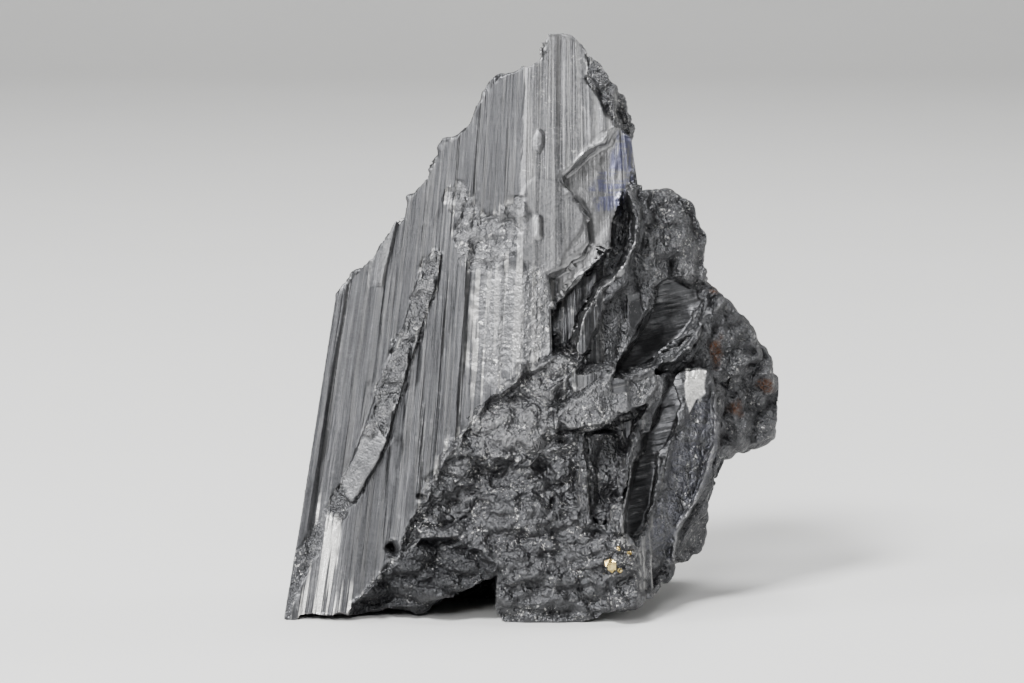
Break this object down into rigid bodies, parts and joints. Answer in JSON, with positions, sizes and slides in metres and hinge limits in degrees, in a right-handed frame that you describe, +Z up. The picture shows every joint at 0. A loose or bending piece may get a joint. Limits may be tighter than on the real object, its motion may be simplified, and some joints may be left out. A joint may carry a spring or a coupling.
{
  "type": "andorite crystal",
  "caption": "Rough tapering metallic-grey crystal with striated faces, a broken top and a ledged, hollowed right side; rests on three small flats.",
  "frame": {"origin": "bottom centre of the crystal's box, on the surface it stands on", "axes": "+Z up; the broad striated face looks along -Y and leans back; +X is to the viewer's right of that face"},
  "size_m": [0.0254, 0.0144, 0.0293],
  "materials": {
    "andorite": "dark steel-grey, bright metallic lustre on the striated faces, duller on the fractures"
  },
  "bodies": {
    "root": {"andorite_crystal": "andorite"}
  },
  "joints": []
}
